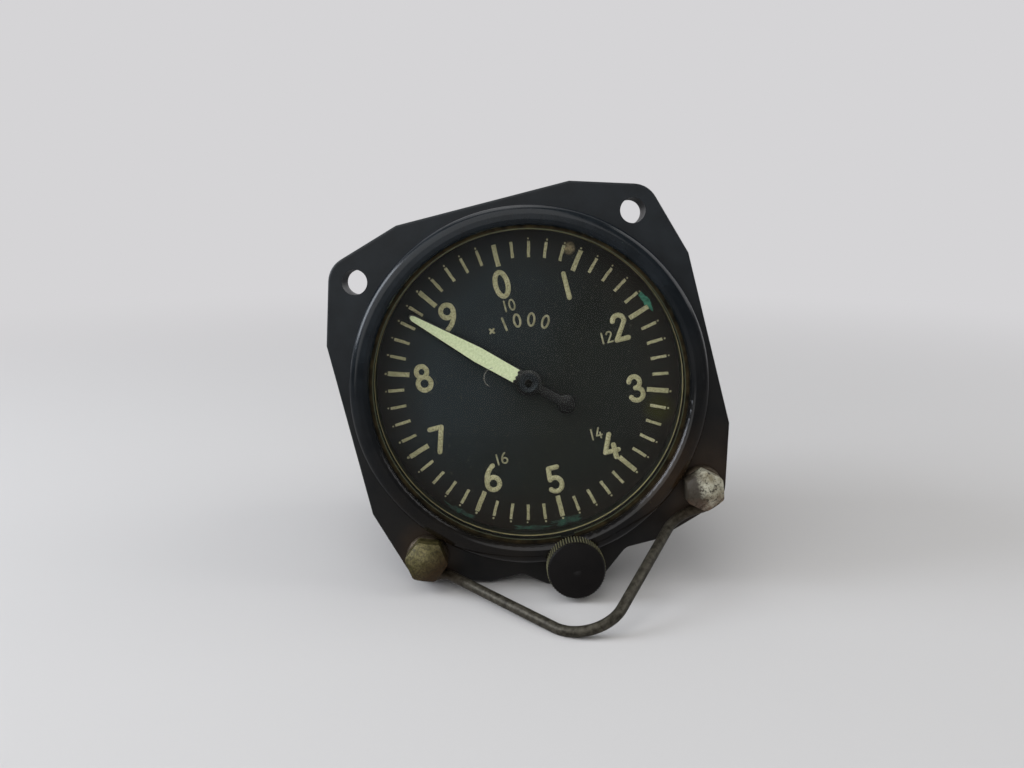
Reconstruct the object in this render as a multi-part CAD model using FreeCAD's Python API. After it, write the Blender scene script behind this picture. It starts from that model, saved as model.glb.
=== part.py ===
import FreeCAD, Part
import os
from math import acos, asin, atan2, cos, hypot, pi, radians, sin, sqrt, tan

# Millimetres. X is right seen from the front, Y goes back into the case and Z is 12 o'clock.
# The origin is the centre of the flange's front face, which lies against the panel.

# Clearances
fit_gap = 0.04        # running fit between a shaft and its bush
slip_gap = 0.1        # stacked rings in their bore
end_gap = 0.2         # end play of whatever turns

# Panel fit of a 3 1/8 inch instrument
screw_circle_d = 88.9
lug_at = screw_circle_d / 2 / sqrt(2)
lug_hole_r = 2.78
lug_r = 5.8
lug_edge = 9.67
lug_run = 11.93
flange_t = 10.0
flange_half = lug_at + lug_edge
flange_corner = lug_at - lug_run
flange_edge = 0.5

# Case moulding
boss_to_screw = 5.15
boss_wall = 4.3
boss_h = 5.2
boss_round = 2.0
boss_lip = 1.2
body_step = 0.6
body_wall = 5.3
boss_r = screw_circle_d / 2 - boss_to_screw
bore_r = boss_r - boss_wall
body_r = boss_r - body_step
body_inner_r = body_r - body_wall
back_t = 3.0
back_round = 3.0
lobe_r = 8.0
lobe_depth = 14.0
lobe_half = 12.0
lobe_fillet = 3.0
knob_boss_r = 5.2
shaft_seat_depth = 1.2

# Knob gearing, which also sets how far below centre the knob sits
knob_module = 0.5
turntable_margin = 1.0
turntable_teeth = 2 * round((bore_r - turntable_margin) / knob_module)
knob_teeth = 25
knob_z = -knob_module * (turntable_teeth + knob_teeth) / 2

# Stack behind the bezel lip, front to back
snap_recess = 2.45
snap_t = 1.1
snap_show = 0.8
snap_groove = 0.9
snap_opening = 3.0
glass_t = 2.4
gasket_t = 0.6
gasket_w = 0.6
spacer_t = 5.0
spacer_w = 0.65
dial_t = 0.8
dial_hole_r = 2.6
retainer_t = 2.6
retainer_w = 2.2

snap_inner_r = bore_r - snap_show
snap_y = snap_recess - boss_h
glass_y = snap_y + snap_t
gasket_y = glass_y + glass_t
spacer_y = gasket_y + gasket_t
dial_y = spacer_y + spacer_t
retainer_y = dial_y + dial_t
shoulder_y = retainer_y + retainer_t
stack_r = bore_r - slip_gap

# Turntable and the frame that stands on it
turntable_t = 2.0
turntable_pitch_r = knob_module * turntable_teeth / 2
turntable_y = shoulder_y + end_gap
turntable_back = turntable_y + turntable_t
shelf_y = turntable_back + end_gap
plate_edge_gap = 3.9
plate_r = body_inner_r - plate_edge_gap
pillar_inset = 2.5
pillar_circle_r = plate_r - pillar_inset
pillar_r = 2.0
pillar_angles = (35.0, 155.0, 275.0)
front_pillar_len = 12.0
plate_t = 2.0
yoke_t = 2.0
yoke_hub_r = 6.0
yoke_pad_r = 3.2
yoke_arm_w = 5.0
screw_r = 1.0
screw_head_r = 1.9
screw_head_t = 1.2
screw_grip = 6.0
window_r = 6.5
window_inset = 13.0
window_at = plate_r - window_inset
window_angles = (95.0, 215.0)
plate_y = turntable_back + front_pillar_len
plate_back = plate_y + plate_t

# Hand staff with its pinion, and the sector that drives it
train_module = 0.3
arbor_inset = 9.7
staff_teeth = 12
sector_teeth = 2 * round((plate_r - arbor_inset) / train_module) - staff_teeth
train_addendum = 0.7
staff_r = 0.9
staff_pivot_r = 0.4
sector_span = 33.0
sector_x = -9.0
sector_t = 1.2
sector_lift = 3.0
staff_pinion_t = 3.0
sector_rim = 2.4
sector_hub_r = 2.4
sector_hub_t = 2.6
sector_arm_w = 3.0
tail_reach = 4.8
tail_w = 3.4
tail_slot = 0.7
arbor_r = 0.9
arbor_pivot_r = 0.5
train_distance = train_module * (staff_teeth + sector_teeth) / 2
sector_z = sqrt(train_distance ** 2 - sector_x ** 2)
sector_y = turntable_back + sector_lift
bush_r = 2.0
bush_stand = 0.5
jewel_r = 1.5
jewel_t = 1.4

# Hairspring
hairspring_y = plate_y - 4.4
hairspring_w = 0.8
hairspring_t = 0.16
hairspring_turns = 4
hairspring_outer_r = 6.2
hair_collet_r = 1.5
hair_collet_t = 1.4
stud_r = 0.6

# Rocking shaft, its two arms and the counterweight
rocking_lift = 4.05
rocking_y = plate_back + rocking_lift
rocking_x = sector_x
rocking_r = 0.9
bracket_t = 1.4
bracket_w = 6.0
bracket_foot = 4.6
bracket_foot_w = 3.2
bracket_foot_t = 1.0
bracket_low_z = -6.2
bracket_room = 2.2
rock_hub_r = 1.8
rock_hub_len = 2.0
arm_t = 0.8
arm_eye_r = 1.2
arm_lift = 0.7
drive_arm_w = 1.2
drive_arm_depth = 2.0
drive_pin_r = 0.4
drive_z = sector_z + tail_reach
bracket_high_z = drive_z + drive_arm_depth / 2 + bracket_room
weight_z = 9.0
weight_r = 1.8
weight_len = 3.0
weight_reach = 6.0
weight_arm_r = 0.6

# Aneroid capsule and the link that joins it to the calibration arm
capsule_side_gap = 1.0
capsule_r = pillar_circle_r - pillar_r - capsule_side_gap
capsule_cell_t = 6.0
capsule_rim_t = 0.8
capsule_gap = 1.0
capsule_hub_r = 5.0
capsule_ripple = 0.45
capsule_ripples = 4
capsule_stem_r = 2.0
capsule_shoulder_r = 4.0
capsule_shoulder_t = 2.2
capsule_post_r = 2.0
capsule_post_len = 3.4
capsule_button_t = 0.6
capsule_nut_af = 7.0
capsule_nut_t = 2.2
capsule_stem_end = 0.3
link_t = 0.8
link_w = 2.0
link_pin_r = 0.5
link_eye_gap = 0.25
link_pin_inset = 1.3
link_reach = 6.05

# Rear pillars, long enough for the linkage and the capsule, and the room behind the yoke
capsule_len = 2 * capsule_cell_t + capsule_gap + capsule_shoulder_t
post_reach = capsule_post_len - link_pin_inset + capsule_button_t
rear_pillar_len = rocking_lift + link_reach + post_reach + capsule_len
back_room = 4.0
yoke_y = plate_back + rear_pillar_len
yoke_back = yoke_y + yoke_t
back_y = yoke_back + back_room
case_back = back_y + back_t

# Pointer
pointer_angle = 313.7
pointer_y = 4.2
pointer_t = 0.4
pointer_tip_gap = 4.0
pointer_tip = stack_r - pointer_tip_gap
pointer_root_w = 3.5
pointer_wide = 3.9
pointer_wide_at = 13.0
pointer_tip_r = 0.85
tail_bar_w = 2.2
tail_disc_at = 9.8
tail_disc_r = 2.15
pointer_hub_r = 3.0
collet_r = 2.3
collet_neck_r = 1.6
collet_flange_t = 0.6
collet_len = 2.0

# Setting knob
knob_r = 6.35
knob_len = 5.8
knob_stand = 1.0
knob_knurls = 62
knurl_depth = 0.3
knob_face_r = 5.9
knob_bevel = 0.8
knob_crown = 0.35
knob_shaft_r = 1.6
knob_shaft_bite = 4.0
knob_pinion_gap = 0.4
bushing_r = 2.6
bushing_flange_r = 3.6
bushing_flange_t = 0.5
packing_t = 1.5
packing_w = 0.5
set_screw_r = 1.0
set_screw_len = 3.4
set_screw_angle = 140.0

# Stand bent from round wire, and the two screws and cap nuts that hold it
wire_r = 1.15
stand_screw_r = 2.4
eye_r = stand_screw_r + fit_gap + wire_r
eye_leg_r = 4.8
eye_end_left = 110.0
eye_end_right = -54.0
stand_tilt = 67.5
stand_knee_left_in = 2.83
stand_knee_right_in = 6.83
stand_apex_x = 0.3
stand_apex_drop = 36.0
stand_toe_r = 8.8
stand_knee_left_r = 3.3
stand_knee_right_r = 9.8
head_r = 4.2
head_t = 2.8
head_slot_w = 1.1
head_slot_depth = 1.3
nut_af = 7.94
nut_len = 6.7
nut_dome_r = 7.0
nut_turn_left = 40.0
nut_turn_right = 13.4
nut_cap_t = 1.7

# Static port in the back
port_r = 4.3
port_body_r = 6.0
port_af = 14.3
port_boss_t = 5.0


def vec(x, y, z):
    return FreeCAD.Vector(x, y, z)


def clock(radius, angle, x=0.0, z=0.0):
    """Point at a clockwise angle from 12 o'clock, as seen from the front."""
    return x + radius * sin(radians(angle)), z + radius * cos(radians(angle))


def rod(radius, y0, y1, x=0.0, z=0.0):
    """Round bar along Y."""
    return Part.makeCylinder(radius, y1 - y0, vec(x, y0, z), vec(0, 1, 0))


def upright(radius, z0, z1, x, y):
    """Round bar along Z."""
    return Part.makeCylinder(radius, z1 - z0, vec(x, y, z0), vec(0, 0, 1))


def ring(outer, inner, y0, y1, x=0.0, z=0.0):
    return rod(outer, y0, y1, x, z).cut(rod(inner, y0, y1, x, z))


def block(x0, x1, y0, y1, z0, z1):
    return Part.makeBox(x1 - x0, y1 - y0, z1 - z0, vec(x0, y0, z0))


def turn(solid, angle, x=0.0, z=0.0):
    """Copy of a solid turned clockwise about a line along Y."""
    moved = solid.copy()
    moved.rotate(vec(x, 0, z), vec(0, 1, 0), angle)
    return moved


def joined(solids):
    return solids[0].fuse(solids[1:]).removeSplitter()


def rounded(corners, place):
    """Closed wire through corners (a, b, radius), each one rounded by a tangent arc."""
    points = [place(a, b) for a, b, radius in corners]
    edges = []
    ends = []
    for i, here in enumerate(points):
        radius = corners[i][2]
        back = (points[i - 1] - here).normalize()
        ahead = (points[(i + 1) % len(points)] - here).normalize()
        if radius == 0:
            ends.append((here, here))
            continue
        half = acos(max(-1.0, min(1.0, back.dot(ahead)))) / 2
        inward = (back + ahead).normalize()
        start = here + back * (radius / tan(half))
        end = here + ahead * (radius / tan(half))
        middle = here + inward * (radius / sin(half) - radius)
        ends.append((start, end))
        edges.append(Part.Arc(start, middle, end).toShape())
    for i, (start, end) in enumerate(ends):
        before = ends[i - 1][1]
        if before.distanceToPoint(start) > 1e-6:
            edges.append(Part.LineSegment(before, start).toShape())
    return Part.Wire(Part.__sortEdges__(edges))


def plate(corners, y0, y1):
    """Flat piece between y0 and y1 with an outline of (x, z, radius) corners."""
    face = Part.Face(rounded(corners, lambda a, b: vec(a, y0, b)))
    return face.extrude(vec(0, y1 - y0, 0))


def sharp(points):
    return [(a, b, 0) for a, b in points]


def turned(corners):
    """Solid of revolution about Y from (radius, y, rounding) corners."""
    face = Part.Face(rounded(corners, lambda a, b: vec(a, b, 0)))
    return face.revolve(vec(0, 0, 0), vec(0, 1, 0), 360)


def hexagon(across_flats, angle, x, z):
    radius = across_flats / sqrt(3)
    return sharp([clock(radius, angle + 60 * i, x, z) for i in range(6)])


def tooth_flank(module, teeth, addendum, dedendum, slack, steps):
    """Half angle of an involute tooth at radii from its root to its tip."""
    pitch_r = module * teeth / 2
    pressure = radians(20)
    base_r = pitch_r * cos(pressure)
    root = pitch_r - dedendum * module
    tip = pitch_r + addendum * module
    half = (pi * module / 4 - slack) / pitch_r + tan(pressure) - pressure
    flank = [(root, half)] if root < base_r else []
    low = max(root, base_r)
    for i in range(steps + 1):
        radius = low + (tip - low) * i / steps
        roll = acos(min(1.0, base_r / radius))
        flank.append((radius, half - tan(roll) + roll))
    return flank


def gear_points(module, teeth, first, count, addendum=1.0, dedendum=1.25, slack=0.03, steps=1):
    """Outline points of a run of teeth, the first centred at a clockwise angle in degrees."""
    flank = tooth_flank(module, teeth, addendum, dedendum, slack, steps)
    points = []
    for i in range(count):
        centre = radians(first + 360.0 * i / teeth)
        side = [(r, centre - a) for r, a in flank]
        other = [(r, centre + a) for r, a in reversed(flank)]
        points += [(r * sin(a), r * cos(a)) for r, a in side + other]
    return points


def flange():
    """Square panel flange with a lug round each screw hole and a lobe below for the knob."""
    dx, dz = lug_at - flange_corner, lug_at - flange_half
    slope = tan(atan2(dz, dx) + asin(lug_r / hypot(dx, dz)))
    tip = (flange_half - slope * flange_corner) / (1 - slope)
    quarter = [(flange_corner, flange_half, 0), (tip, tip, lug_r), (flange_half, flange_corner, 0)]
    corners = []
    for i in range(4):
        c, s = round(cos(i * pi / 2)), round(sin(i * pi / 2))
        corners += [(x * c + z * s, z * c - x * s, radius) for x, z, radius in quarter]
    outline = plate(corners, 0, flange_t).fuse(lobe()).removeSplitter()
    notches = [e for e in outline.Edges if is_notch(e)]
    if notches:
        outline = outline.makeFillet(lobe_fillet, notches)
    front = [e for e in outline.Edges if e.BoundBox.YMax < 1e-6]
    return outline.makeFillet(flange_edge, front)


def lobe():
    """Lobe round the knob's shaft, whose sides slant up to the flange's lower edge."""
    rise = knob_z + flange_half
    reach = hypot(lobe_half, rise)
    slant = atan2(rise, -lobe_half) + asin(lobe_r / reach)
    side = sqrt(reach ** 2 - lobe_r ** 2)
    x, z = lobe_half + side * cos(slant), side * sin(slant) - flange_half
    skirt = sharp([
        (lobe_half, -flange_half), (x, z), (-x, z), (-lobe_half, -flange_half),
        (0, -flange_half / 2)])
    return plate(skirt, 0, flange_t).fuse(rod(lobe_r, 0, flange_t, 0, knob_z))


def is_notch(edge):
    """True for the inner corners where the lobe leaves the flange's lower edge."""
    box = edge.BoundBox
    along_y = box.XLength < 1e-6 and box.ZLength < 1e-6
    at_foot = abs(abs(box.XMin) - lobe_half) < 1e-3 and abs(box.ZMin + flange_half) < 1e-3
    return along_y and at_foot


def case_body():
    """Bezel boss in front of the flange and the closed cup behind it, turned in one piece."""
    return turned([
        (0, -boss_h, 0), (bore_r, -boss_h, 0), (boss_r, -boss_h, boss_round), (boss_r, 0, 0),
        (boss_r, flange_t / 2, 0), (body_r, flange_t / 2, 0), (body_r, case_back, back_round),
        (0, case_back, 0)])


def case_cavity():
    """Everything bored out of the case from the front."""
    groove_r = bore_r + snap_groove
    gear_bore = turntable_pitch_r + knob_module + slip_gap
    return turned([
        (0, -boss_h, 0), (bore_r + boss_lip, -boss_h, 0),
        (bore_r + 0.3 * boss_lip, 0.3 * boss_lip - boss_h, boss_lip), (bore_r, boss_lip - boss_h, 0),
        (bore_r, snap_y, 0), (groove_r, snap_y, 0), (groove_r, glass_y, 0), (bore_r, glass_y, 0),
        (bore_r, shoulder_y, 0), (gear_bore, shoulder_y, 0), (gear_bore, shelf_y, 0),
        (body_inner_r, shelf_y, 0), (body_inner_r, back_y, back_round / 2), (0, back_y, 0)])


def pinion_pocket():
    """Slot that lets the knob's pinion in from the bore, with a seat for the shaft's end."""
    radius = knob_module * (knob_teeth / 2 + 1) + knob_pinion_gap
    pocket = rod(radius, shoulder_y, shelf_y, 0, knob_z)
    slot = block(-radius, radius, shoulder_y, shelf_y, knob_z, -body_inner_r + 1)
    seat = rod(knob_shaft_r + fit_gap, shelf_y, shelf_y + shaft_seat_depth, 0, knob_z)
    return pocket.fuse([slot, seat])


def case_shell():
    solid = joined([
        case_body(), flange(), rod(lobe_r, 0, lobe_depth, 0, knob_z),
        rod(knob_boss_r, -boss_h, 0, 0, knob_z)])
    cuts = [case_cavity(), pinion_pocket(), rod(bushing_r, -boss_h, shoulder_y, 0, knob_z)]
    cuts += [rod(lug_hole_r, -1, flange_t + 1, x, z)
             for x in (-lug_at, lug_at) for z in (-lug_at, lug_at)]
    cuts.append(rod(port_body_r, back_y, case_back, 0, 0))
    return solid.cut(cuts)


def snap_ring():
    hoop = ring(bore_r + snap_groove - slip_gap, snap_inner_r, snap_y, glass_y)
    half = snap_opening / 2
    return hoop.cut(block(-half, half, snap_y, glass_y, -boss_r, 0))


def dial():
    return ring(stack_r, dial_hole_r, dial_y, retainer_y)


def knob_bushing():
    """Brass bush with a front flange and a packing recess at its rear end."""
    bore = knob_shaft_r + fit_gap
    front = -boss_h - bushing_flange_t
    sleeve = rod(bushing_r, -boss_h, shoulder_y, 0, knob_z)
    collar = rod(bushing_flange_r, front, -boss_h, 0, knob_z)
    recess = rod(bore + packing_w, shoulder_y - packing_t, shoulder_y, 0, knob_z)
    return sleeve.fuse(collar).cut([rod(bore, front, shoulder_y, 0, knob_z), recess])


def shaft_packing():
    bore = knob_shaft_r + fit_gap
    return ring(bore + packing_w, bore, shoulder_y - packing_t, shoulder_y, 0, knob_z)


def static_port_insert():
    """Threaded brass insert moulded into the back, with a hexagon outside."""
    body = rod(port_body_r, back_y, case_back)
    boss = plate(hexagon(port_af, 0, 0, 0), case_back, case_back + port_boss_t)
    return body.fuse(boss).cut(rod(port_r, back_y, case_back + port_boss_t))


def knob_rear():
    return -boss_h - knob_stand


def knob():
    """Knurled knob with a bevelled, slightly crowned face."""
    rear = knob_rear()
    face = rear - knob_len
    teeth = []
    for i in range(knob_knurls):
        teeth.append(clock(knob_r, 360.0 * i / knob_knurls, 0, knob_z))
        teeth.append(clock(knob_r - knurl_depth, 360.0 * (i + 0.5) / knob_knurls, 0, knob_z))
    grip = plate(sharp(teeth), face, rear)
    edge = face + knob_crown
    crown_r = (knob_face_r ** 2 + knob_crown ** 2) / (2 * knob_crown)
    rim = Part.LineSegment(vec(knob_face_r, edge, 0), vec(knob_r, edge + knob_bevel, 0))
    side = Part.LineSegment(vec(knob_r, edge + knob_bevel, 0), vec(knob_r, rear, 0))
    floor = Part.LineSegment(vec(knob_r, rear, 0), vec(0, rear, 0))
    axis = Part.LineSegment(vec(0, rear, 0), vec(0, face, 0))
    dome_mid = knob_face_r / 2
    dome_y = face + crown_r - sqrt(crown_r ** 2 - dome_mid ** 2)
    dome = Part.Arc(vec(0, face, 0), vec(dome_mid, dome_y, 0), vec(knob_face_r, edge, 0))
    outline = Part.Wire([piece.toShape() for piece in (dome, rim, side, floor, axis)])
    envelope = Part.Face(outline).revolve(vec(0, 0, 0), vec(0, 1, 0), 360)
    envelope.translate(vec(0, 0, knob_z))
    solid = grip.common(envelope)
    return solid.cut([rod(knob_shaft_r, rear - knob_shaft_bite, rear, 0, knob_z), set_screw_hole()])


def set_screw_line(start, length):
    """Round bar across the knob at the set screw's place, from a radius outwards."""
    dx, dz = clock(1.0, set_screw_angle)
    y = knob_rear() - knob_shaft_bite / 2
    base = vec(dx * start, y, knob_z + dz * start)
    return Part.makeCylinder(set_screw_r, length, base, vec(dx, 0, dz))


def set_screw_hole():
    return set_screw_line(knob_shaft_r * cos(asin(set_screw_r / knob_shaft_r)), knob_r)


def knob_set_screw():
    return set_screw_line(knob_shaft_r, set_screw_len)


def knob_shaft():
    seat = shelf_y + shaft_seat_depth - end_gap
    return rod(knob_shaft_r, knob_rear() - knob_shaft_bite, seat, 0, knob_z)


def knob_pinion():
    """Pinion with a tooth space facing straight up at the turntable."""
    points = gear_points(knob_module, knob_teeth, 180.0 / knob_teeth, knob_teeth, steps=3)
    wheel = plate(sharp([(x, z + knob_z) for x, z in points]), turntable_y, turntable_back)
    return wheel.cut(rod(knob_shaft_r, turntable_y, turntable_back, 0, knob_z))


def pillar_places():
    return [clock(pillar_circle_r, angle) for angle in pillar_angles]


def windows(y0, y1):
    return [rod(window_r, y0, y1, *clock(window_at, angle)) for angle in window_angles]


def turntable_gear():
    """Toothed plate that turns in the case and carries the whole movement."""
    teeth = gear_points(knob_module, turntable_teeth, 0, turntable_teeth)
    disc = plate(sharp(teeth), turntable_y, turntable_back)
    cuts = windows(turntable_y, turntable_back)
    cuts += [rod(screw_r, turntable_y, turntable_back, x, z) for x, z in pillar_places()]
    cuts.append(rod(bush_r, turntable_y, turntable_back))
    cuts.append(rod(arbor_pivot_r + fit_gap, turntable_y, turntable_back, sector_x, sector_z))
    return disc.cut(cuts)


def front_pillars():
    pillars = []
    for x, z in pillar_places():
        post = rod(pillar_r, turntable_back, plate_y, x, z)
        front_hole = rod(screw_r, turntable_back, turntable_back + screw_grip, x, z)
        rear_hole = rod(screw_r, plate_y - screw_grip, plate_y, x, z)
        pillars.append(post.cut([front_hole, rear_hole]))
    return Part.makeCompound(pillars)


def rear_pillars():
    """Posts with a stud that passes the movement plate into the front pillar."""
    pillars = []
    for x, z in pillar_places():
        post = rod(pillar_r, plate_back, yoke_y, x, z)
        stud = rod(screw_r, plate_y - screw_grip + end_gap, plate_back, x, z)
        hole = rod(screw_r, yoke_y - screw_grip, yoke_y, x, z)
        pillars.append(post.fuse(stud).cut(hole))
    return Part.makeCompound(pillars)


def plate_screws():
    """Three screws from the front into the front pillars and three into the rear pillars."""
    screws = []
    for x, z in pillar_places():
        head = rod(screw_head_r, turntable_y - screw_head_t, turntable_y, x, z)
        shank = rod(screw_r, turntable_y, turntable_back + screw_grip - end_gap, x, z)
        screws.append(head.fuse(shank))
        head = rod(screw_head_r, yoke_back, yoke_back + screw_head_t, x, z)
        shank = rod(screw_r, yoke_y - screw_grip + end_gap, yoke_back, x, z)
        screws.append(head.fuse(shank))
    return Part.makeCompound(screws)


def bracket_screw_places():
    """Centres of the two bracket screws, one in each foot."""
    x = rocking_x + (bracket_w + bracket_foot) / 2
    half = bracket_foot_w / 2
    return [(x, bracket_low_z + half), (x, bracket_high_z + bracket_t - half)]


def movement_plate():
    """Middle plate of the movement, slotted where the drive arm reaches through."""
    slot_x = drive_arm_w / 2 + 2.0
    slot_z = drive_arm_depth / 2 + 0.6
    cuts = windows(plate_y, plate_back)
    cuts += [rod(screw_r, plate_y, plate_back, x, z) for x, z in pillar_places()]
    cuts.append(rod(jewel_r, plate_back - jewel_t, plate_back))
    cuts.append(rod(staff_r, plate_y, plate_back))
    cuts.append(rod(arbor_pivot_r + fit_gap, plate_y, plate_back, sector_x, sector_z))
    cuts.append(block(rocking_x - slot_x, rocking_x + slot_x, plate_y, plate_back,
                      drive_z - slot_z, drive_z + slot_z))
    cuts += [rod(stud_r, plate_y, plate_back, x, z) for x, z in bracket_screw_places()]
    return rod(plate_r, plate_y, plate_back).cut(cuts)


def capsule_yoke():
    """Three-armed bridge that holds the rear of the capsule."""
    pieces = [rod(yoke_hub_r, yoke_y, yoke_back)]
    half = yoke_arm_w / 2
    for angle, (x, z) in zip(pillar_angles, pillar_places()):
        pieces.append(rod(yoke_pad_r, yoke_y, yoke_back, x, z))
        arm = block(-half, half, yoke_y, yoke_back, 0, pillar_circle_r)
        pieces.append(turn(arm, angle))
    bridge = joined(pieces)
    cuts = [rod(screw_r, yoke_y, yoke_back, x, z) for x, z in pillar_places()]
    return bridge.cut(cuts + [rod(capsule_stem_r, yoke_y, yoke_back)])


def capsule_cell(front):
    """One evacuated cell: two corrugated diaphragms joined at a flat rim."""
    middle = front + capsule_cell_t / 2
    rim = capsule_rim_t / 2
    rise = capsule_cell_t / 2 - rim - capsule_ripple
    waves = 2 * capsule_ripples
    face = []
    for i in range(waves + 1):
        radius = capsule_hub_r + (capsule_r - 1.5 - capsule_hub_r) * i / waves
        ripple = capsule_ripple * (1 if i % 2 == 0 else -1)
        depth = rim + capsule_ripple + (rise - capsule_ripple) * (1 - i / waves) + ripple
        face.append((radius, depth))
    lower = [(r, middle - d) for r, d in face]
    upper = [(r, middle + d) for r, d in reversed(face)]
    edge = [(capsule_r, middle - rim), (capsule_r, middle + rim)]
    hub = [(0, lower[0][1])], [(0, upper[-1][1])]
    return turned(sharp(hub[0] + lower + edge + upper + hub[1]))


def capsule_front():
    """Y of the capsule's front hub, counted forward from the yoke."""
    return yoke_y - capsule_len


def aneroid_capsule():
    """Two cells in series on a stem that passes through the yoke."""
    front = capsule_front()
    second = front + capsule_cell_t + capsule_gap
    overlap = 2 * capsule_ripple
    return joined([
        capsule_cell(front), capsule_cell(second),
        rod(capsule_hub_r, front + capsule_cell_t - overlap, second + overlap),
        rod(capsule_shoulder_r, second + capsule_cell_t - overlap, yoke_y),
        rod(capsule_stem_r, yoke_y, yoke_back + capsule_nut_t + capsule_stem_end)])


def capsule_nut():
    nut = plate(hexagon(capsule_nut_af, 0, 0, 0), yoke_back, yoke_back + capsule_nut_t)
    return nut.cut(rod(capsule_stem_r, yoke_back, yoke_back + capsule_nut_t))


def staff_front_bush():
    front = turntable_y - bush_stand
    back = turntable_back + bush_stand
    return ring(bush_r, staff_r + fit_gap, front, back)


def staff_rear_jewel():
    return ring(jewel_r, staff_pivot_r + fit_gap, plate_back - jewel_t, plate_back)


def rocking_brackets():
    """Two bent brackets on the back of the movement plate."""
    brackets = []
    x0, x1 = rocking_x - bracket_w / 2, rocking_x + bracket_w / 2
    foot_back = plate_back + bracket_foot_t
    half = bracket_foot_w / 2
    for z, (sx, sz) in zip((bracket_low_z, bracket_high_z), bracket_screw_places()):
        cheek = block(x0, x1, plate_back, rocking_y, z, z + bracket_t)
        top = upright(bracket_w / 2, z, z + bracket_t, rocking_x, rocking_y)
        foot = block(x1 - bracket_t, x1 + bracket_foot, plate_back, foot_back, sz - half, sz + half)
        hole = upright(rocking_r + fit_gap, z, z + bracket_t, rocking_x, rocking_y)
        screw_hole = rod(stud_r, plate_back, foot_back, sx, sz)
        brackets.append(joined([cheek, top, foot]).cut([hole, screw_hole]))
    return Part.makeCompound(brackets)


def bracket_screws():
    screws = []
    for x, z in bracket_screw_places():
        head_y = plate_back + bracket_foot_t
        head = rod(2 * stud_r, head_y, head_y + stud_r, x, z)
        screws.append(head.fuse(rod(stud_r, plate_y, head_y, x, z)))
    return Part.makeCompound(screws)


def spiral_points(offset):
    """Points of the hairspring's centre line moved outwards by an offset."""
    steps = 24 * hairspring_turns
    inner = hair_collet_r + hairspring_t / 2
    points = []
    for i in range(steps + 1):
        radius = inner + (hairspring_outer_r - inner) * i / steps + offset
        points.append(clock(radius, 360.0 * hairspring_turns * i / steps))
    return points


def hairspring():
    """Flat spiral from the staff's collet to its stud."""
    outer = spiral_points(hairspring_t / 2)
    inner = spiral_points(-hairspring_t / 2)
    outline = sharp(outer + inner[::-1])
    return plate(outline, hairspring_y - hairspring_w / 2, hairspring_y + hairspring_w / 2)


def hairspring_stud():
    reach = hairspring_outer_r + hairspring_t / 2 + stud_r
    return rod(stud_r, hairspring_y - hairspring_w, plate_y, 0, reach)


def hand_staff():
    """Staff of the pointer with a fine pivot at its rear end."""
    shoulder = plate_back - jewel_t - end_gap
    body = rod(staff_r, pointer_y - collet_flange_t + slip_gap, plate_y - end_gap)
    return body.fuse(rod(staff_pivot_r, plate_y - end_gap, shoulder + jewel_t))


def staff_pinion():
    """Twelve-leaf pinion set so that a leaf space faces the sector's pivot."""
    toward = clockwise_angle(sector_x, sector_z)
    points = gear_points(train_module, staff_teeth, toward + 180.0 / staff_teeth, staff_teeth,
                         addendum=train_addendum, steps=3)
    front = sector_y - (staff_pinion_t - sector_t) / 2
    wheel = plate(sharp(points), front, front + staff_pinion_t)
    return wheel.cut(rod(staff_r, front, front + staff_pinion_t))


def hairspring_collet():
    return ring(hair_collet_r, staff_r, hairspring_y - hair_collet_t / 2, hairspring_y + hair_collet_t / 2)


def clockwise_angle(x, z):
    return atan2(x, z) * 180 / pi


def sector_gear():
    """Toothed sector with a rim, two spokes, a hub and a forked tail for the drive pin."""
    pitch = 360.0 / sector_teeth
    count = 2 * int(sector_span / pitch) + 1
    toward = clockwise_angle(-sector_x, -sector_z)
    first = toward - (count // 2) * pitch
    teeth = gear_points(train_module, sector_teeth, first, count,
                        addendum=train_addendum, steps=2)
    root_r = train_module * (sector_teeth / 2 - 1.25)
    inner_r = root_r - sector_rim
    span = (count // 2 + 0.5) * pitch
    inner = [clock(inner_r, toward + span * (1 - i / 6)) for i in range(13)]
    rim = plate(sharp(teeth + inner), sector_y, sector_y + sector_t)
    half = sector_arm_w / 2
    pieces = [rim, rod(sector_hub_r, sector_y, sector_y + sector_hub_t)]
    spoke = block(-half, half, sector_y, sector_y + sector_t, 0, inner_r + sector_rim / 2)
    pieces += [turn(spoke, toward + side * span * 0.6) for side in (-1, 1)]
    half = tail_w / 2
    tail_end = tail_reach + tail_w / 2
    pieces.append(block(-half, half, sector_y, sector_y + sector_t, 0, tail_end))
    solid = joined(pieces)
    slot = block(-tail_slot, tail_slot, sector_y, sector_y + sector_t, tail_reach - tail_w / 2, tail_end)
    solid = solid.cut([slot, rod(arbor_r, sector_y, sector_y + sector_hub_t)])
    solid.translate(vec(sector_x, 0, sector_z))
    return solid


def sector_arbor():
    """Arbor turning between the turntable and the movement plate."""
    front = turntable_back + end_gap
    back = plate_y - end_gap
    return joined([
        rod(arbor_r, front, back, sector_x, sector_z),
        rod(arbor_pivot_r, turntable_y + end_gap, front, sector_x, sector_z),
        rod(arbor_pivot_r, back, plate_back - end_gap, sector_x, sector_z)])


def rocking_shaft():
    return upright(rocking_r, bracket_low_z, bracket_high_z + bracket_t, rocking_x, rocking_y)


def rock_hub(z0, z1):
    return upright(rock_hub_r, z0, z1, rocking_x, rocking_y)


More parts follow.
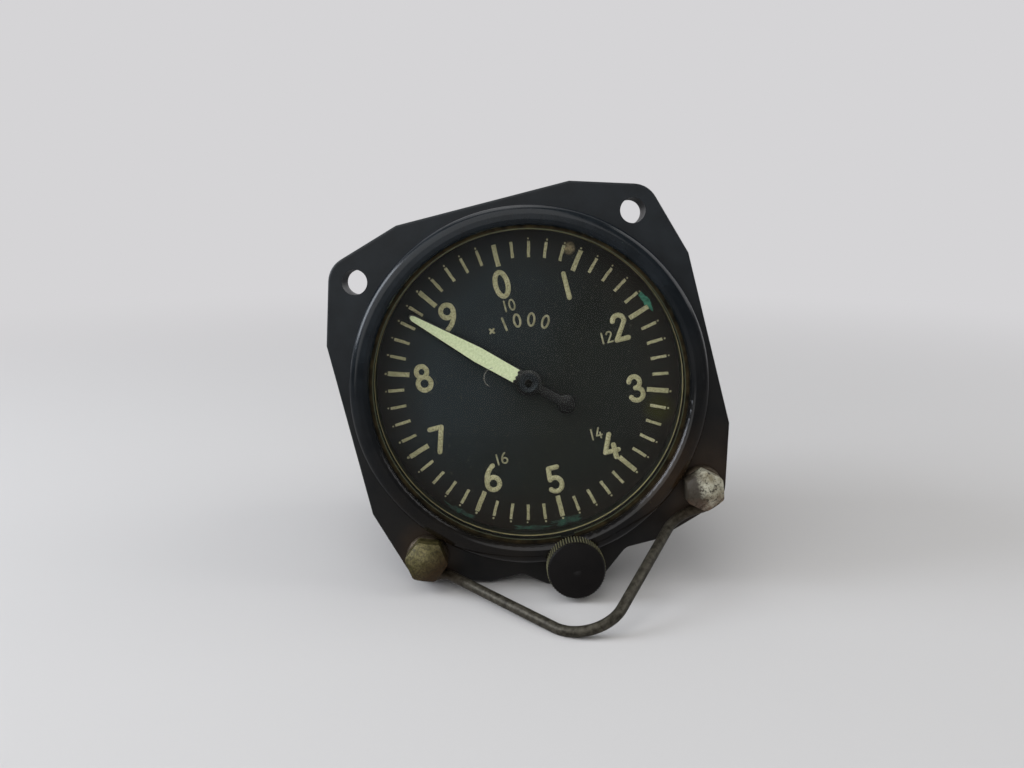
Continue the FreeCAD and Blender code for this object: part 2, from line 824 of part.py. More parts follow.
def calibration_arm():
    """Arm from the rocking shaft to the capsule's link, with the link's upper pin."""
    z0, z1 = arm_lift, arm_lift + arm_t
    strip = block(rocking_x, 0, rocking_y - arm_eye_r, rocking_y + arm_eye_r, z0, z1)
    hub = rock_hub(z0, z0 + rock_hub_len)
    eye = upright(arm_eye_r, z0, z1, 0, rocking_y)
    link_pin = upright(link_pin_r, -arm_lift, z0, 0, rocking_y)
    bore = upright(rocking_r, z0, z0 + rock_hub_len, rocking_x, rocking_y)
    return joined([strip, hub, eye, link_pin]).cut(bore)


def drive_arm():
    """Arm from the rocking shaft forward to the sector's fork, ending in the drive pin."""
    z0, z1 = drive_z - drive_arm_depth / 2, drive_z + drive_arm_depth / 2
    pin_root = sector_y + sector_t + 0.6
    half = drive_arm_w / 2
    strip = block(rocking_x - half, rocking_x + half, pin_root, rocking_y, z0, z1)
    pin = rod(drive_pin_r, sector_y - 0.4, pin_root, rocking_x, drive_z)
    bore = upright(rocking_r, z0, z1, rocking_x, rocking_y)
    return joined([strip, rock_hub(z0, z1), pin]).cut(bore)


def balance_weight():
    """Counterweight on its own hub, on the far side of the shaft from the calibration arm."""
    z0 = weight_z - rock_hub_len / 2
    hub = rock_hub(z0, z0 + rock_hub_len)
    west = vec(-1, 0, 0)
    start = vec(rocking_x, rocking_y, weight_z)
    arm = Part.makeCylinder(weight_arm_r, weight_reach, start, west)
    weight = Part.makeCylinder(weight_r, weight_len, start + west * weight_reach, west)
    bore = upright(rocking_r, z0, z0 + rock_hub_len, rocking_x, rocking_y)
    return joined([hub, arm, weight]).cut(bore)


def capsule_post_front():
    return capsule_front() - capsule_button_t - capsule_post_len


def capsule_post():
    """Post on the capsule's front hub, slotted for the link."""
    front = capsule_post_front()
    root = capsule_front() - capsule_button_t
    post = rod(capsule_post_r, front, root)
    button = rod(capsule_hub_r - 1, root, capsule_front())
    gap = link_t / 2 + slip_gap
    slot = block(-capsule_post_r, capsule_post_r, front, root - 1, -gap, gap)
    pin_y = front + link_pin_inset
    hole = upright(link_pin_r, -capsule_post_r, capsule_post_r, 0, pin_y)
    return post.fuse(button).cut([slot, hole])


def drop_link():
    """Flat link with a wide upper eye, which takes up the arm's swing."""
    pin_y = capsule_post_front() + link_pin_inset
    half_t = link_t / 2
    strip = block(-link_w / 2, link_w / 2, rocking_y, pin_y, -half_t, half_t)
    eye_r = link_pin_r + link_eye_gap
    upper = upright(eye_r + 0.6, -half_t, half_t, 0, rocking_y)
    lower = upright(link_w / 2, -half_t, half_t, 0, pin_y)
    upper_hole = upright(eye_r, -half_t, half_t, 0, rocking_y)
    lower_hole = upright(link_pin_r, -half_t, half_t, 0, pin_y)
    return joined([strip, upper, lower]).cut([upper_hole, lower_hole])


def link_pin():
    pin_y = capsule_post_front() + link_pin_inset
    return upright(link_pin_r, -capsule_post_r, capsule_post_r, 0, pin_y)


def pointer():
    """Flat hand with a long blade and a round-ended tail."""
    y0, y1 = pointer_y, pointer_y + pointer_t
    root, wide = pointer_root_w / 2, pointer_wide / 2
    shoulder = pointer_tip - pointer_tip_r
    blade = plate(sharp([(-root, 0), (-wide, pointer_wide_at), (-pointer_tip_r, shoulder),
                         (pointer_tip_r, shoulder), (wide, pointer_wide_at), (root, 0)]), y0, y1)
    half = tail_bar_w / 2
    pieces = [blade, rod(pointer_tip_r, y0, y1, 0, shoulder), rod(pointer_hub_r, y0, y1),
              block(-half, half, y0, y1, -tail_disc_at, 0), rod(tail_disc_r, y0, y1, 0, -tail_disc_at)]
    return turn(joined(pieces).cut(rod(collet_neck_r, y0, y1)), pointer_angle)


def pointer_collet():
    front = pointer_y - collet_flange_t
    flange_disc = rod(collet_r, front, pointer_y)
    neck = rod(collet_neck_r, pointer_y, front + collet_len)
    return flange_disc.fuse(neck).cut(rod(staff_r, front, front + collet_len))


def stand_path():
    """Centre line of the stand: two eyes in the panel plane and a toe tilted forward."""
    y = -wire_r
    z = -lug_at - eye_leg_r
    leg_x = lug_at + eye_r - eye_leg_r
    down = vec(0, -sin(radians(stand_tilt)), -cos(radians(stand_tilt)))
    left = vec(-leg_x, y, z)
    right = vec(leg_x, y, z)
    knee_left = vec(stand_knee_left_in - lug_at, y, z)
    knee_right = vec(lug_at - stand_knee_right_in, y, z)
    apex = vec(stand_apex_x, y, z) + down * stand_apex_drop
    bends = [bend(left, knee_left, apex, stand_knee_left_r), bend(knee_left, apex, knee_right, stand_toe_r),
             bend(apex, knee_right, right, stand_knee_right_r)]
    edges = eye_arcs(-1, y, eye_end_left)
    edges.append(Part.LineSegment(left, bends[0][0]).toShape())
    for i, (start, middle, end) in enumerate(bends):
        edges.append(Part.Arc(start, middle, end).toShape())
        ahead = bends[i + 1][0] if i + 1 < len(bends) else right
        edges.append(Part.LineSegment(end, ahead).toShape())
    return Part.Wire(edges + eye_arcs(1, y, eye_end_right)[::-1])


def bend(before, corner, after, radius):
    """Start, middle and end of the tangent arc that rounds a corner of the wire."""
    back = (before - corner).normalize()
    ahead = (after - corner).normalize()
    half = acos(back.dot(ahead)) / 2
    reach = radius / tan(half)
    inward = (back + ahead).normalize()
    return corner + back * reach, corner + inward * (radius / sin(half) - radius), corner + ahead * reach


def eye_arcs(side, y, end_angle):
    """Tight arc over a screw's top and a wider one that leads down to the leg."""
    x = side * lug_at
    outer = side * 90.0
    top = [clock(eye_r, angle, x, -lug_at) for angle in
           (end_angle, (end_angle + outer) / 2, outer)]
    leg_x = side * (lug_at + eye_r - eye_leg_r)
    low = [clock(eye_leg_r, angle, leg_x, -lug_at) for angle in (outer, 1.5 * outer, 2 * outer)]
    return [Part.Arc(*[vec(px, y, pz) for px, pz in points]).toShape() for points in (top, low)]


def stand_wire():
    path = stand_path()
    start = path.OrderedEdges[0]
    first = start.valueAt(start.FirstParameter)
    tangent = start.tangentAt(start.FirstParameter)
    if first.distanceToPoint(path.OrderedVertexes[0].Point) > 1e-6:
        first = start.valueAt(start.LastParameter)
        tangent = start.tangentAt(start.LastParameter) * -1
    section = Part.Wire(Part.Circle(first, tangent, wire_r).toShape())
    return path.makePipeShell([section], True, True)


def nut_seat():
    return -2 * wire_r


def stand_screws():
    """Slotted round-head screws from behind the two lower lugs."""
    screws = []
    for x in (-lug_at, lug_at):
        head = rod(head_r, flange_t, flange_t + head_t, x, -lug_at)
        rim = [e for e in head.Edges if e.BoundBox.YMin > flange_t + head_t / 2 and e.Closed]
        head = head.makeFillet(head_t / 2, rim)
        slot = block(x - head_r, x + head_r, flange_t + head_t - head_slot_depth, flange_t + head_t,
                     -lug_at - head_slot_w / 2, -lug_at + head_slot_w / 2)
        tip = nut_seat() - nut_len + nut_cap_t + end_gap
        screws.append(head.cut(slot).fuse(rod(stand_screw_r, tip, flange_t, x, -lug_at)))
    return Part.makeCompound(screws)


def acorn_nut(x, angle):
    """Hexagon cap nut with a low domed front."""
    seat = nut_seat()
    front = seat - nut_len
    prism = plate(hexagon(nut_af, angle, x, -lug_at), front, seat)
    dome = Part.makeSphere(nut_dome_r, vec(x, front + nut_dome_r, -lug_at))
    return prism.common(dome).cut(rod(stand_screw_r, front + nut_cap_t, seat, x, -lug_at))


parts = {
    "case_shell": case_shell(),
    "cover_glass": rod(stack_r, glass_y, gasket_y),
    "glass_gasket": ring(stack_r, stack_r - gasket_w, gasket_y, spacer_y),
    "snap_ring": snap_ring(),
    "dial_spacer": ring(stack_r, stack_r - spacer_w, spacer_y, dial_y),
    "dial": dial(),
    "turntable_retainer": ring(stack_r, stack_r - retainer_w, retainer_y, shoulder_y),
    "knob_bushing": knob_bushing(),
    "shaft_packing": shaft_packing(),
    "static_port_insert": static_port_insert(),
    "stand_wire": stand_wire(),
    "stand_screws": stand_screws(),
    "acorn_nut_left": acorn_nut(-lug_at, nut_turn_left),
    "acorn_nut_right": acorn_nut(lug_at, nut_turn_right),
    "knob": knob(),
    "knob_shaft": knob_shaft(),
    "knob_pinion": knob_pinion(),
    "knob_set_screw": knob_set_screw(),
    "turntable_gear": turntable_gear(),
    "front_pillars": front_pillars(),
    "movement_plate": movement_plate(),
    "rear_pillars": rear_pillars(),
    "plate_screws": plate_screws(),
    "capsule_yoke": capsule_yoke(),
    "aneroid_capsule": aneroid_capsule(),
    "capsule_nut": capsule_nut(),
    "staff_front_bush": staff_front_bush(),
    "staff_rear_jewel": staff_rear_jewel(),
    "rocking_brackets": rocking_brackets(),
    "bracket_screws": bracket_screws(),
    "hairspring": hairspring(),
    "hairspring_stud": hairspring_stud(),
    "hand_staff": hand_staff(),
    "staff_pinion": staff_pinion(),
    "hairspring_collet": hairspring_collet(),
    "pointer": pointer(),
    "pointer_collet": pointer_collet(),
    "sector_gear": sector_gear(),
    "sector_arbor": sector_arbor(),
    "rocking_shaft": rocking_shaft(),
    "calibration_arm": calibration_arm(),
    "drive_arm": drive_arm(),
    "balance_weight": balance_weight(),
    "capsule_post": capsule_post(),
    "drop_link": drop_link(),
    "link_pin": link_pin(),
}

os.makedirs("parts", exist_ok=True)
for name, shape in parts.items():
    shape.exportStep(f"parts/{name}.step")
    print(name, len(shape.Solids), round(shape.Volume, 2), shape.isValid())
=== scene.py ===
import math
import random

import bmesh
import bpy
from mathutils import Matrix, Vector


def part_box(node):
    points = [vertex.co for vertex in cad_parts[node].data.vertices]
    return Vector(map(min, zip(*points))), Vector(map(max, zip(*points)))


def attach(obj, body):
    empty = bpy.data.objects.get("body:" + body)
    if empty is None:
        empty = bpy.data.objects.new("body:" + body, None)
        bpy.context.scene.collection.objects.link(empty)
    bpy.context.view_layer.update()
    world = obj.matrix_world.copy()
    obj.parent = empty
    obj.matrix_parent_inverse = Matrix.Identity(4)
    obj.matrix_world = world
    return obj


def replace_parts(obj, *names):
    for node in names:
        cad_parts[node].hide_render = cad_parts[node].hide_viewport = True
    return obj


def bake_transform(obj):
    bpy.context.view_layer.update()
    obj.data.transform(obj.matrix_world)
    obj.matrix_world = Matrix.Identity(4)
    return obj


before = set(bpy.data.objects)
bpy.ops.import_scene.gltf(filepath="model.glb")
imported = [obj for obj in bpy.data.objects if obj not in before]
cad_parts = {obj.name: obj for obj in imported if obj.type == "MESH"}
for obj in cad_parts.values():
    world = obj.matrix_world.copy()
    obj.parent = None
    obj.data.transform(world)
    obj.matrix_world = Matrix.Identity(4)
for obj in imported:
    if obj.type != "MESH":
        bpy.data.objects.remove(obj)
bpy.context.view_layer.update()

# ---- Case -------------------------------------------------------------------
# The case is moulded in black phenolic: a square flange with four lugs, a round bezel
# boss in front and a closed cup behind. The flange is satin from handling and dust, and
# the boss has kept more of the mould's gloss.


def linear(code):
    """A colour written as sRGB hex, as the linear values that nodes take."""
    parts = [int(code[i:i + 2], 16) / 255 for i in (1, 3, 5)]
    return (*[p / 12.92 if p <= 0.04045 else ((p + 0.055) / 1.055) ** 2.4 for p in parts], 1)


def new_material(name, **plain):
    """A material with its shader; plain inputs are written with _ for a space."""
    made = bpy.data.materials.new(name)
    made.use_nodes = True
    shader = made.node_tree.nodes["Principled BSDF"]
    for key, value in plain.items():
        shader.inputs[key.replace("_", " ")].default_value = value
    return made, shader


def add(material, kind, inputs=None, **settings):
    """One node with its settings; each input takes a value, or a link from a node or socket."""
    made = material.node_tree.nodes.new("ShaderNode" + kind)
    for name, value in settings.items():
        setattr(made, name, value)
    for name, value in (inputs or {}).items():
        feed(material, made, name, value)
    return made


def feed(material, node, name, value):
    """Links a node or socket to an input, or sets its value."""
    socket = node.inputs[name]
    if isinstance(value, bpy.types.Node):
        value = value.outputs[0]
    if isinstance(value, bpy.types.NodeSocket):
        material.node_tree.links.new(value, socket)
    else:
        socket.default_value = value


def surface_place(material):
    """The point on the surface, in the object's own axes."""
    return add(material, "TexCoord").outputs["Object"]


def noise(material, place, size, detail, **more):
    """Cloudy noise, with clouds about as wide as size."""
    return add(material, "TexNoise", {"Vector": place, "Scale": 1 / size, "Detail": detail, **more})


def drawn_out(material, place, sizes, detail, **more):
    """Noise stretched to a size along each axis, into scuffs or machined lines."""
    scale = tuple(1 / size for size in sizes)
    stretched = add(material, "Mapping", {"Vector": place, "Scale": scale, **more})
    return noise(material, stretched, 1.0, detail)


def ramp(material, value, lower_shade, high, start=0.0, end=1.0, **settings):
    """Takes low to high of a value to start to end, and holds it beyond them."""
    return add(material, "MapRange", {"Value": value, "From Min": lower_shade, "From Max": high,
                                      "To Min": start, "To Max": end}, **settings)


def between(material, value, start, end):
    """Takes a value from 0 to 1 to start to end."""
    return ramp(material, value, 0.0, 1.0, start, end)


def maths(material, operation, *values):
    """One sum with values, nodes or sockets."""
    return add(material, "Math", dict(enumerate(values)), operation=operation)


def distance(material, place, centre):
    """How far the surface is from a point."""
    return add(material, "VectorMath", {0: place, 1: centre}, operation="DISTANCE").outputs["Value"]


def mix(material, share, first, second):
    """A colour between two, each given as hex or as a node."""
    first, second = (linear(c) if isinstance(c, str) else c for c in (first, second))
    return add(material, "MixRGB", {"Fac": share, "Color1": first, "Color2": second})


def emboss(material, shader, height, strength, depth):
    """Gives the surface an uneven relief as deep as depth."""
    feed(material, shader, "Normal", add(material, "Bump", {
        "Strength": strength, "Distance": depth, "Height": height}))


def dress(material, *names):
    """Gives CAD nodes a material in place of their plain one."""
    for name in names:
        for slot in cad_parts[name].material_slots:
            slot.material = material


mm = 0.001
lug_at = 31.43 * mm

phenolic, shader = new_material("moulded phenolic", Specular_IOR_Level=0.38)
place = surface_place(phenolic)
axes = add(phenolic, "SeparateXYZ", {"Vector": place})
cloud = noise(phenolic, place, 9 * mm, 5.0, Roughness=0.6)
cloud_tone = ramp(phenolic, cloud, 0.35, 0.68)
colour = mix(phenolic, cloud_tone, "#101519", "#1D2328")
# painted shade: the lower half is painted darker, and browner in patches
lower_shade = ramp(phenolic, axes.outputs["Z"], 15 * mm, -25 * mm)
colour = mix(phenolic, lower_shade, colour, "#0B0A0A")
colour = mix(phenolic, maths(phenolic, "MULTIPLY", lower_shade, cloud_tone), colour, "#191510")
# rust from the nuts stains the lugs, the right one most
for side, reach in ((-1, 8.5 * mm), (1, 16.5 * mm)):
    near = distance(phenolic, place, (side * lug_at, 0, -lug_at))
    halo = ramp(phenolic, near, reach, 4.5 * mm)
    colour = mix(phenolic, maths(phenolic, "MULTIPLY", halo, cloud), colour, "#3F2E1C")
feed(phenolic, shader, "Base Color", colour)
# satin flange, glossier boss
boss = ramp(phenolic, axes.outputs["Y"], -0.3 * mm, -0.9 * mm)
satin = ramp(phenolic, cloud, 0.3, 0.7, 0.36, 0.5)
gloss = ramp(phenolic, cloud, 0.3, 0.7, 0.14, 0.22)
feed(phenolic, shader, "Roughness", add(phenolic, "Mix", {"Factor": boss, "A": satin, "B": gloss}))
# fine moulded texture with long light scuffs across it
grain = noise(phenolic, place, 0.35 * mm, 3.0)
scuff = drawn_out(phenolic, place, (7 * mm, 7 * mm, 0.25 * mm), 2.0, Rotation=(0, 0.7, 0))
emboss(phenolic, shader, maths(phenolic, "ADD", grain, scuff), between(phenolic, boss, 0.3, 0.08),
       0.02 * mm)
dress(phenolic, "case_shell")

# ---- Retaining rings behind the bezel lip -----------------------------------
# A snap ring of browned spring steel holds the glass on a black rubber gasket. Behind it
# a black spacer ring stands on the dial; its front inner edge is worn to bare brass.


def from_axis(material, place):
    """How far the surface is from the Y axis."""
    across = add(material, "VectorMath", {0: place, 1: (1, 0, 1)}, operation="MULTIPLY")
    return add(material, "VectorMath", {0: across}, operation="LENGTH").outputs["Value"]


def front_edge(material, place, radii, depths):
    """1 on a ring's front inner edge, fading out between two radii and between two depths."""
    axes = add(material, "SeparateXYZ", {"Vector": place})
    inner = ramp(material, from_axis(material, place), *radii)
    front = ramp(material, axes.outputs["Y"], *depths)
    return maths(material, "MULTIPLY", inner, front)


browned, shader = new_material("browned spring steel", Metallic=0.8)
place = surface_place(browned)
blotch = noise(browned, place, 2.5 * mm, 5.0)
colour = mix(browned, ramp(browned, blotch, 0.36, 0.66), "#1F1A10", "#4A4029")
# painted highlight: a thin teal-grey band is painted along the snap ring's front inner edge
edge_highlight_and_wear = front_edge(browned, place, (34.36 * mm, 34.26 * mm), (-2.3 * mm, -2.5 * mm))
feed(browned, shader, "Base Color", mix(browned, edge_highlight_and_wear, colour, "#69705C"))
feed(browned, shader, "Roughness", between(browned, blotch, 0.3, 0.6))
dress(browned, "snap_ring")

rubber, shader = new_material("black rubber", Roughness=0.75, Base_Color=linear("#141312"))
pores = noise(rubber, surface_place(rubber), 0.4 * mm, 3.0)
emboss(rubber, shader, pores, 0.3, 0.05 * mm)
dress(rubber, "glass_gasket", "shaft_packing")

lacquer, shader = new_material("black lacquer worn to brass")
place = surface_place(lacquer)
worn = ramp(lacquer, noise(lacquer, place, 6 * mm, 6.0, Roughness=0.7), 0.36, 0.55, 0.55)
edge_highlight_and_wear = front_edge(lacquer, place, (34.5 * mm, 34.4 * mm), (2.1 * mm, 1.9 * mm))
bare = maths(lacquer, "MULTIPLY", edge_highlight_and_wear, worn)
feed(lacquer, shader, "Base Color", mix(lacquer, bare, "#15150F", "#D9C998"))
feed(lacquer, shader, "Metallic", maths(lacquer, "MULTIPLY", bare, 0.4))
feed(lacquer, shader, "Roughness", between(lacquer, bare, 0.55, 0.36))
dress(lacquer, "dial_spacer")

# ---- Dial -------------------------------------------------------------------
# The dial is an aluminium disc in matt black. Ticks and numerals are raised strokes of
# aged luminous paint laid on by hand, so that they are grainy and a little uneven.

dial_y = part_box("dial")[0].y


def along(material, place, way):
    """How far along a direction the surface is."""
    return add(material, "VectorMath", {0: place, 1: way}, operation="DOT_PRODUCT").outputs["Value"]


dial_paint, shader = new_material("matt black dial paint", Specular_IOR_Level=0.2)
place = surface_place(dial_paint)
haze = noise(dial_paint, place, 14 * mm, 4.0)
specks = noise(dial_paint, place, 0.9 * mm, 2.0)
colour = mix(dial_paint, ramp(dial_paint, haze, 0.35, 0.65), "#141615", "#1C1E1C")
# painted sheen: the upper left is painted a lighter, greyer blue, as if lit from that side
slope = along(dial_paint, place, (-0.75, 0, 0.66))
upper_left_sheen = maths(dial_paint, "MULTIPLY_ADD", haze, 22 * mm, slope)
upper_left_sheen = ramp(dial_paint, upper_left_sheen, 4 * mm, 30 * mm, 0.0, 0.9)
colour = mix(dial_paint, upper_left_sheen, colour, "#272E35")
# the rim has browned, and light flecks are scattered over the whole dial
rim = ramp(dial_paint, from_axis(dial_paint, place), 23 * mm, 35 * mm, 0.0, 0.9)
brown = maths(dial_paint, "MULTIPLY", rim, ramp(dial_paint, haze, 0.3, 0.6, 0.35))
colour = mix(dial_paint, brown, colour, "#231B17")
colour = mix(dial_paint, ramp(dial_paint, specks, 0.62, 0.74, 0.0, 0.45), colour, "#4A4A42")
# an olive stain from old varnish lies between the 3 and the 4
near = distance(dial_paint, place, (27.3 * mm, dial_y, -13.2 * mm))
colour = mix(dial_paint, ramp(dial_paint, near, 4.2 * mm, 1.5 * mm, 0.0, 0.6), colour, "#35350F")
# a drop of cream paint has dried near the 1
near = distance(dial_paint, place, (16.3 * mm, dial_y, 27.0 * mm))
drop = maths(dial_paint, "MULTIPLY", ramp(dial_paint, near, 1.6 * mm, 0.5 * mm),
             ramp(dial_paint, specks, 0.35, 0.62, 0.15))
feed(dial_paint, shader, "Base Color", mix(dial_paint, drop, colour, "#B9A583"))
feed(dial_paint, shader, "Roughness", between(dial_paint, haze, 0.6, 0.75))
dress(dial_paint, "dial")

lume, shader = new_material("aged luminous paint", Roughness=0.85, Specular_IOR_Level=0.25)
place = surface_place(lume)
grit = noise(lume, place, 0.32 * mm, 4.0, Roughness=0.7)
tone = mix(lume, ramp(lume, noise(lume, place, 5 * mm, 3.0), 0.35, 0.65), "#B8B18F", "#CFC7A5")
feed(lume, shader, "Base Color", mix(lume, ramp(lume, grit, 0.38, 0.55, 0.9, 0.0), tone, "#8A8266"))
emboss(lume, shader, grit, 0.6, 0.08 * mm)

rng = random.Random(7)
paint_h = 0.2 * mm
seat = 0.03 * mm
crease = math.radians(38)


def clock(radius, angle):
    """X and Z of a point at an angle clockwise from 12 o'clock."""
    turn = math.radians(angle)
    return radius * math.sin(turn), radius * math.cos(turn)


def put(name, data):
    """A new object in the scene, from a mesh, a curve, a lamp or a camera."""
    made = bpy.data.objects.new(name, data)
    bpy.context.scene.collection.objects.link(made)
    return made


def finish_piece(name, work, material, body, smooth=True):
    """Makes a bmesh a piece of the object, with its material and body."""
    mesh = bpy.data.meshes.new(name)
    work.to_mesh(mesh)
    work.free()
    for face in mesh.polygons:
        face.use_smooth = smooth
    if smooth:
        mesh.set_sharp_from_angle(angle=crease)
    mesh.materials.clear()
    mesh.materials.append(material)
    piece = put(name, mesh)
    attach(piece, body)
    return piece


def raise_faces(work, faces, height):
    """Pulls flat faces forward into a pad and gives back its front faces."""
    raised = bmesh.ops.extrude_face_region(work, geom=faces)["geom"]
    bmesh.ops.translate(work, verts=[v for v in raised if isinstance(v, bmesh.types.BMVert)],
                        vec=(0, -height, 0))
    return [f for f in raised if isinstance(f, bmesh.types.BMFace)]


def lift(work, height):
    """Raises every flat outline on the dial into a pad of paint."""
    front = raise_faces(work, work.faces[:], height + seat)
    bmesh.ops.recalc_face_normals(work, faces=work.faces)
    return front


def tick(work, angle, inner, outer, width):
    """The outline of a bar of paint between two radii, with slightly uneven sides."""
    made = bmesh.ops.create_grid(work, x_segments=1, y_segments=5, size=0.5)["verts"]
    for v in made:
        v.co = (v.co.x * width + rng.uniform(-0.05, 0.05) * mm, dial_y + seat,
                v.co.y * (outer - inner) + (inner + outer) / 2 + rng.uniform(-0.04, 0.04) * mm)
    bmesh.ops.rotate(work, verts=made, matrix=Matrix.Rotation(math.radians(angle), 3, "Y"))


tick_count = 50
tick_turn = 360 / tick_count
# inner radius, outer radius and width
long_tick = (27.0 * mm, 31.9 * mm, 1.05 * mm)
short_tick = (28.2 * mm, 31.8 * mm, 0.66 * mm)
dots_at = 32.35 * mm

ticks = bmesh.new()
for i in range(tick_count):
    tick(ticks, i * tick_turn, *(short_tick if i % 5 else long_tick))
front = lift(ticks, paint_h)
inside = set(front)
rims = [e for f in front for e in f.edges if not all(g in inside for g in e.link_faces)]
bmesh.ops.bevel(ticks, geom=rims, offset=0.07 * mm, segments=2, profile=0.5, affect="EDGES",
                material=-1)
# a dot of paint is left beyond most ticks
for i in range(tick_count):
    if rng.random() < 0.8:
        x, z = clock(dots_at, i * tick_turn + rng.uniform(-0.3, 0.3))
        size = (0.22 if i % 5 else 0.3) * rng.uniform(0.8, 1.15) * mm
        dot = Matrix.Translation((x, dial_y, z)) @ Matrix.Diagonal((size, 0.1 * mm, size, 1))
        bmesh.ops.create_icosphere(ticks, subdivisions=2, radius=1.0, matrix=dot)
finish_piece("dial_ticks", ticks, lume, "case", smooth=False)


def arc(x, z, across, up, start, end):
    """Points on an ellipse between two clockwise angles, both measured from its top."""
    count = max(2, round(abs(end - start) / 12))
    angles = [math.radians(start + (end - start) * i / count) for i in range(count + 1)]
    return [(x + across * math.sin(a), z + up * math.cos(a)) for a in angles]


def swing(a, b, c, d):
    """Points on a Bezier curve."""
    steps = [i / 10 for i in range(11)]
    return [tuple((1 - t) ** 3 * a[i] + 3 * (1 - t) ** 2 * t * b[i] + 3 * (1 - t) * t * t * c[i]
                  + t ** 3 * d[i] for i in (0, 1)) for t in steps]


# each glyph is drawn as lines about its middle, from -top to top
top = 2.76
six = [arc(0, -1.3, 1.42, 1.46, 0, 360), swing((0.8, top), (-0.6, 1.9), (-1.42, 0.3), (-1.42, -1.3))]
digits = {
    "0": [arc(0, 0, 1.38, top, 0, 360)],
    "1": [[(0, top), (0, -top)]],
    "2": [arc(0, 1.45, 1.3, 1.31, -82, 105) + [(-1.3, -top)], [(-1.3, -top), (1.42, -top)]],
    "3": [arc(-0.05, 1.45, 1.22, 1.31, -75, 180), arc(-0.1, -1.3, 1.45, 1.44, 0, 252)],
    "4": [[(0.3, top), (-1.45, -1.2)], [(-1.45, -1.2), (1.6, -1.2)], [(0.75, 0.15), (0.75, -top)]],
    "5": [[(1.15, top), (-0.85, top)], [(-0.85, top), (-1.05, 0.45)],
          arc(-0.12, -1.15, 1.5, 1.61, -38, 235)],
    "6": six,
    "7": [[(-1.36, top), (1.36, top)], [(1.36, top), (-0.4, -top)]],
    "8": [arc(0, 1.5, 1.2, 1.26, 0, 360), arc(0, -1.25, 1.48, 1.51, 0, 360)],
    "9": [[(-x, -z) for x, z in line] for line in six],
    "x": [[(-1.2, 1.2), (1.2, -1.2)], [(-1.2, -1.2), (1.2, 1.2)]],
}


def stroke(drawing, path, width):
    """One painted line, as wide as width, closed where its ends meet and else rounded off."""
    closed = math.dist(path[0], path[-1]) < 1e-6
    half = width / 2
    if closed:
        line = [(x, z, 1.0) for x, z in path[:-1]]
    else:
        line = [(x, z, 1.0) for x, z in path]
        for end, (tip, back) in ((0, (path[0], path[1])), (len(line), (path[-1], path[-2]))):
            far = math.dist(tip, back)
            out = ((tip[0] - back[0]) / far, (tip[1] - back[1]) / far)
            cap = []
            for angle in (65, 40, 18, 3):
                reach = half * math.cos(math.radians(angle))
                cap.append((tip[0] + out[0] * reach, tip[1] + out[1] * reach,
                            math.sin(math.radians(angle))))
            line = cap[::-1] + line if end == 0 else line + cap
    spline = drawing.splines.new("POLY")
    spline.points.add(len(line) - 1)
    spline.use_cyclic_u = closed
    for point, (x, z, size) in zip(spline.points, line):
        point.co = (x, 0, z, 1)
        point.radius = half * size * rng.uniform(0.95, 1.05)


def lettering(name, glyphs, material):
    """Raised glyphs on the dial: each is (text, x, z, height, stroke width, turn)."""
    drawing = bpy.data.curves.new(name, "CURVE")
    drawing.dimensions = "3D"
    drawing.bevel_depth = 1.0
    drawing.bevel_resolution = 2
    drawing.use_fill_caps = True
    for text, at_x, at_z, high, width, turn in glyphs:
        size = (high - width) / (2 * top)
        c, s = math.cos(math.radians(turn)), math.sin(math.radians(turn))
        for path in digits[text]:
            placed = [(at_x + (x * c + z * s) * size, at_z + (z * c - x * s) * size)
                      for x, z in path]
            stroke(drawing, placed, width)
    shape = put(name, drawing)
    mesh = bpy.data.meshes.new_from_object(shape)
    bpy.data.objects.remove(shape)
    # the round strokes are pressed as flat as the paint
    flat = 2 * paint_h / glyphs[0][4]
    mesh.transform(Matrix.Translation((0, dial_y, 0)) @ Matrix.Diagonal((1, flat, 1, 1)))
    work = bmesh.new()
    work.from_mesh(mesh)
    bmesh.ops.remove_doubles(work, verts=work.verts, dist=0.002 * mm)
    bmesh.ops.recalc_face_normals(work, faces=work.faces)
    bpy.data.meshes.remove(mesh)
    finish_piece(name, work, material, "case")


numeral_places = ((-0.35, 22.9), (13.7, 19.0), (23.05, 6.95), (23.3, -7.5), (14.5, -18.9),
                  (0.3, -23.2), (-13.5, -19.3), (-23.1, -7.7), (-22.85, 6.8), (-13.8, 18.8))
lettering("dial_numerals", [(str(i), x * mm, z * mm, 6.6 * mm, 1.1 * mm, 0)
                            for i, (x, z) in enumerate(numeral_places)], lume)

ink, shader = new_material("cream printing ink", Roughness=0.7, Specular_IOR_Level=0.3)
rubbed = noise(ink, surface_place(ink), 1.2 * mm, 4.0)
feed(ink, shader, "Base Color", mix(ink, ramp(ink, rubbed, 0.38, 0.62), "#8F896F", "#B9B296"))

small = []
small_places = (("10", -0.1, 17.9), ("12", 19.4, 5.4), ("14", 11.8, -15.3), ("16", -10.5, -15.5))
for text, x, z in small_places:
    for i, glyph in enumerate(text):
        small.append((glyph, (x - 0.75 + 1.6 * i) * mm, z * mm, 2.7 * mm, 0.38 * mm, 0))
# the scale's multiplier stands in an arc above the hub
for glyph, angle, turn in (("x", -21, 8), ("1", -8, -8), ("0", 4, 4), ("0", 17, 17), ("0", 30, 30)):
    x, z = clock(14.2 * mm, angle)
    small.append((glyph, x, z, (2.4 if glyph == "x" else 3.3) * mm, 0.5 * mm, turn))
lettering("dial_small_numerals", small, ink)


def smear(work, angle, radius, sweep, width, rough):
    """The ragged outline of a thin patch of paint along an arc of the dial."""
    made = bmesh.ops.create_circle(work, cap_ends=True, segments=48, radius=1.0)["verts"]
    for v in made:
        around = math.atan2(v.co.y, v.co.x)
        ragged = 1 + rough * (math.sin(5 * around + angle) * 0.4 + rng.uniform(-0.6, 0.6))
        x, z = clock(radius + v.co.y * ragged * width / 2, angle + v.co.x * ragged * sweep / 2)
        v.co = (x, dial_y + seat, z)


